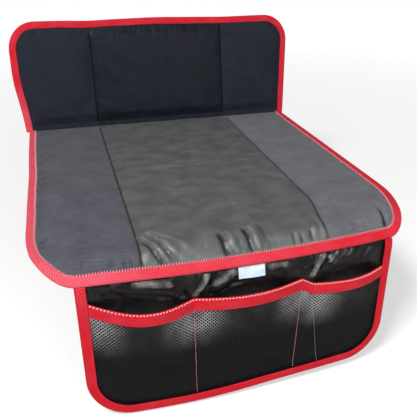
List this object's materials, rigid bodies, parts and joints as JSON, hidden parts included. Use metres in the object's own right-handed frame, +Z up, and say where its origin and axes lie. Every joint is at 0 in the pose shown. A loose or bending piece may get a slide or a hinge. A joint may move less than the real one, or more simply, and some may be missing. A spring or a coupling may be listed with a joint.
{
  "type": "car seat protector mat",
  "caption": "Padded mat laid over a car seat: back pad, seat pad and a front apron with net pockets, all bound in red tape.",
  "frame": {"origin": "middle of the seat pad's flat underside", "axes": "+Z up from the seat, +Y towards the back pad, -Y towards the apron"},
  "size_m": [0.5056, 0.5338, 0.3798],
  "materials": {
    "woven_cover": "matte woven polyester",
    "coated_cover": "coated cloth with a soft sheen",
    "grip_backing": "matte cloth with small grip dots",
    "foam_board": "closed-cell foam",
    "binding_tape": "ribbed woven tape",
    "pocket_net": "fine knitted net",
    "label_satin": "satin ribbon"
  },
  "bodies": {
    "root": {"seat_cover_left": "woven_cover", "seat_cover_centre": "coated_cover", "seat_cover_right": "woven_cover", "seat_foam": "foam_board", "seat_backing": "grip_backing", "seat_binding": "binding_tape", "back_cover_left": "woven_cover", "back_cover_centre": "coated_cover", "back_cover_right": "woven_cover", "back_foam": "foam_board", "back_backing": "grip_backing", "back_binding": "binding_tape", "crease_tape": "grip_backing", "apron_panel": "coated_cover", "apron_binding": "binding_tape", "pocket_net": "pocket_net", "pocket_hem": "binding_tape", "label_tab": "label_satin"}
  },
  "joints": []
}
